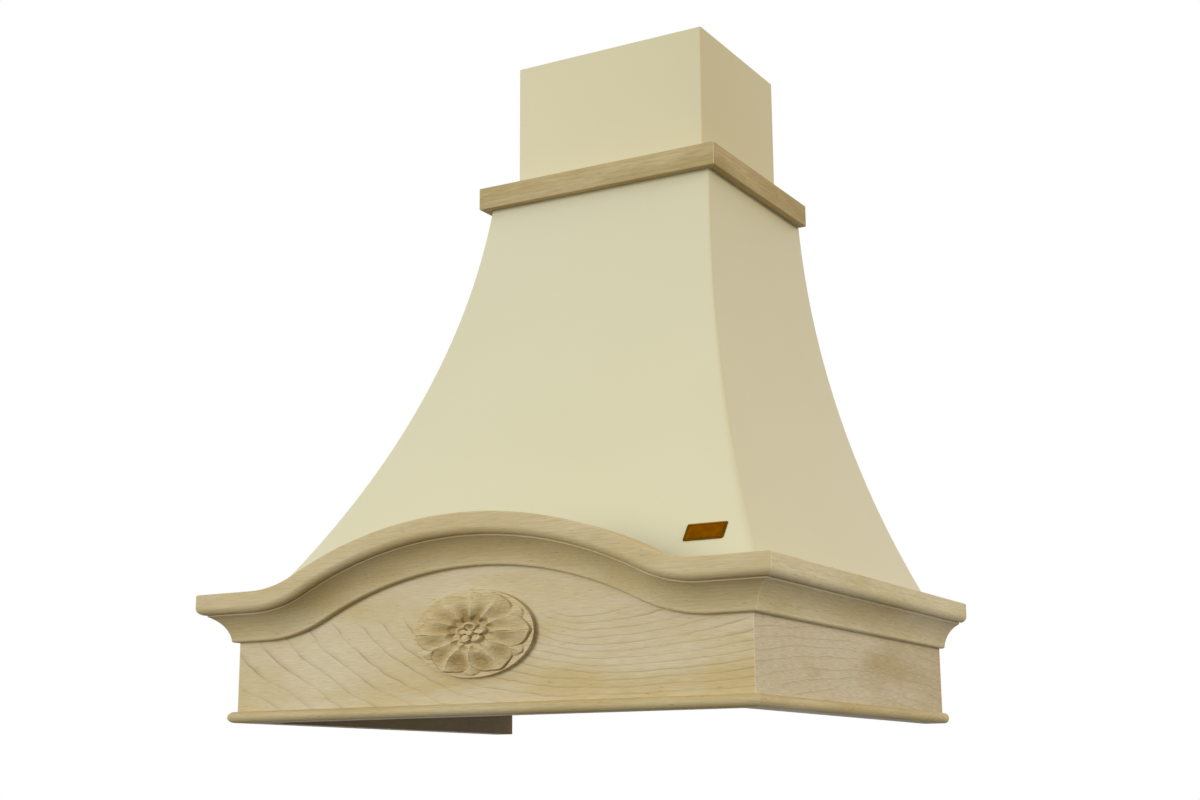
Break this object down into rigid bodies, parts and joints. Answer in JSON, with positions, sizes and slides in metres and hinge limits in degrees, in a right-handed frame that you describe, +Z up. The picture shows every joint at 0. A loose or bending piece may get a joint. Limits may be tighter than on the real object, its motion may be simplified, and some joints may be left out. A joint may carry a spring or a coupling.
{
  "type": "range hood cover",
  "caption": "Wall-hung range hood cover: beech base frame with arched crown moulding and carved rosette, flared cream canopy, beech collar and sliding chimney cover.",
  "frame": {"origin": "on the wall plane, on the centre line, level with the underside of the base frame", "axes": "+X to the right as seen from the front, +Y into the wall, -Y out into the room, +Z up"},
  "size_m": [0.668, 0.538, 0.8],
  "materials": {
    "beech": "unfinished, planed and sanded",
    "plywood": "unfinished beech-faced plywood",
    "cream_coat": "satin cream powder coat on sheet steel",
    "zinc_steel": "bright zinc plated",
    "bronze_badge": "satin, blank"
  },
  "bodies": {
    "root": {"front_board": "beech", "side_board_left": "beech", "side_board_right": "beech", "base_bead_front": "beech", "base_bead_left": "beech", "base_bead_right": "beech", "crown_front": "beech", "crown_left": "beech", "crown_right": "beech", "rosette": "beech", "corner_block_left": "beech", "corner_block_right": "beech", "back_rail": "beech", "back_rail_dowels": "beech", "panel_cleat_front": "beech", "panel_cleat_left": "beech", "panel_cleat_right": "beech", "collar_front": "beech", "collar_left": "beech", "collar_right": "beech", "hanging_cleat": "beech", "wall_cleat": "beech", "chimney_rest": "beech", "insert_panel": "plywood", "top_board": "plywood", "canopy_front": "cream_coat", "canopy_left": "cream_coat", "canopy_right": "cream_coat", "crown_screws": "zinc_steel", "rosette_screws": "zinc_steel", "corner_block_screws": "zinc_steel", "panel_cleat_screws": "zinc_steel", "insert_panel_screws": "zinc_steel", "canopy_skirt_screws": "zinc_steel", "top_board_screws": "zinc_steel", "hanging_cleat_screws": "zinc_steel", "chimney_rest_screws": "zinc_steel", "badge_plate": "bronze_badge"},
    "chimney": {"chimney_cover": "cream_coat", "chimney_bracket": "zinc_steel", "chimney_bracket_screws": "zinc_steel"}
  },
  "joints": [
    {"name": "chimney_slide", "type": "slide", "parent": "root", "child": "chimney", "axis": [0, 0, 1], "range_m": [0, 0.15]}
  ]
}
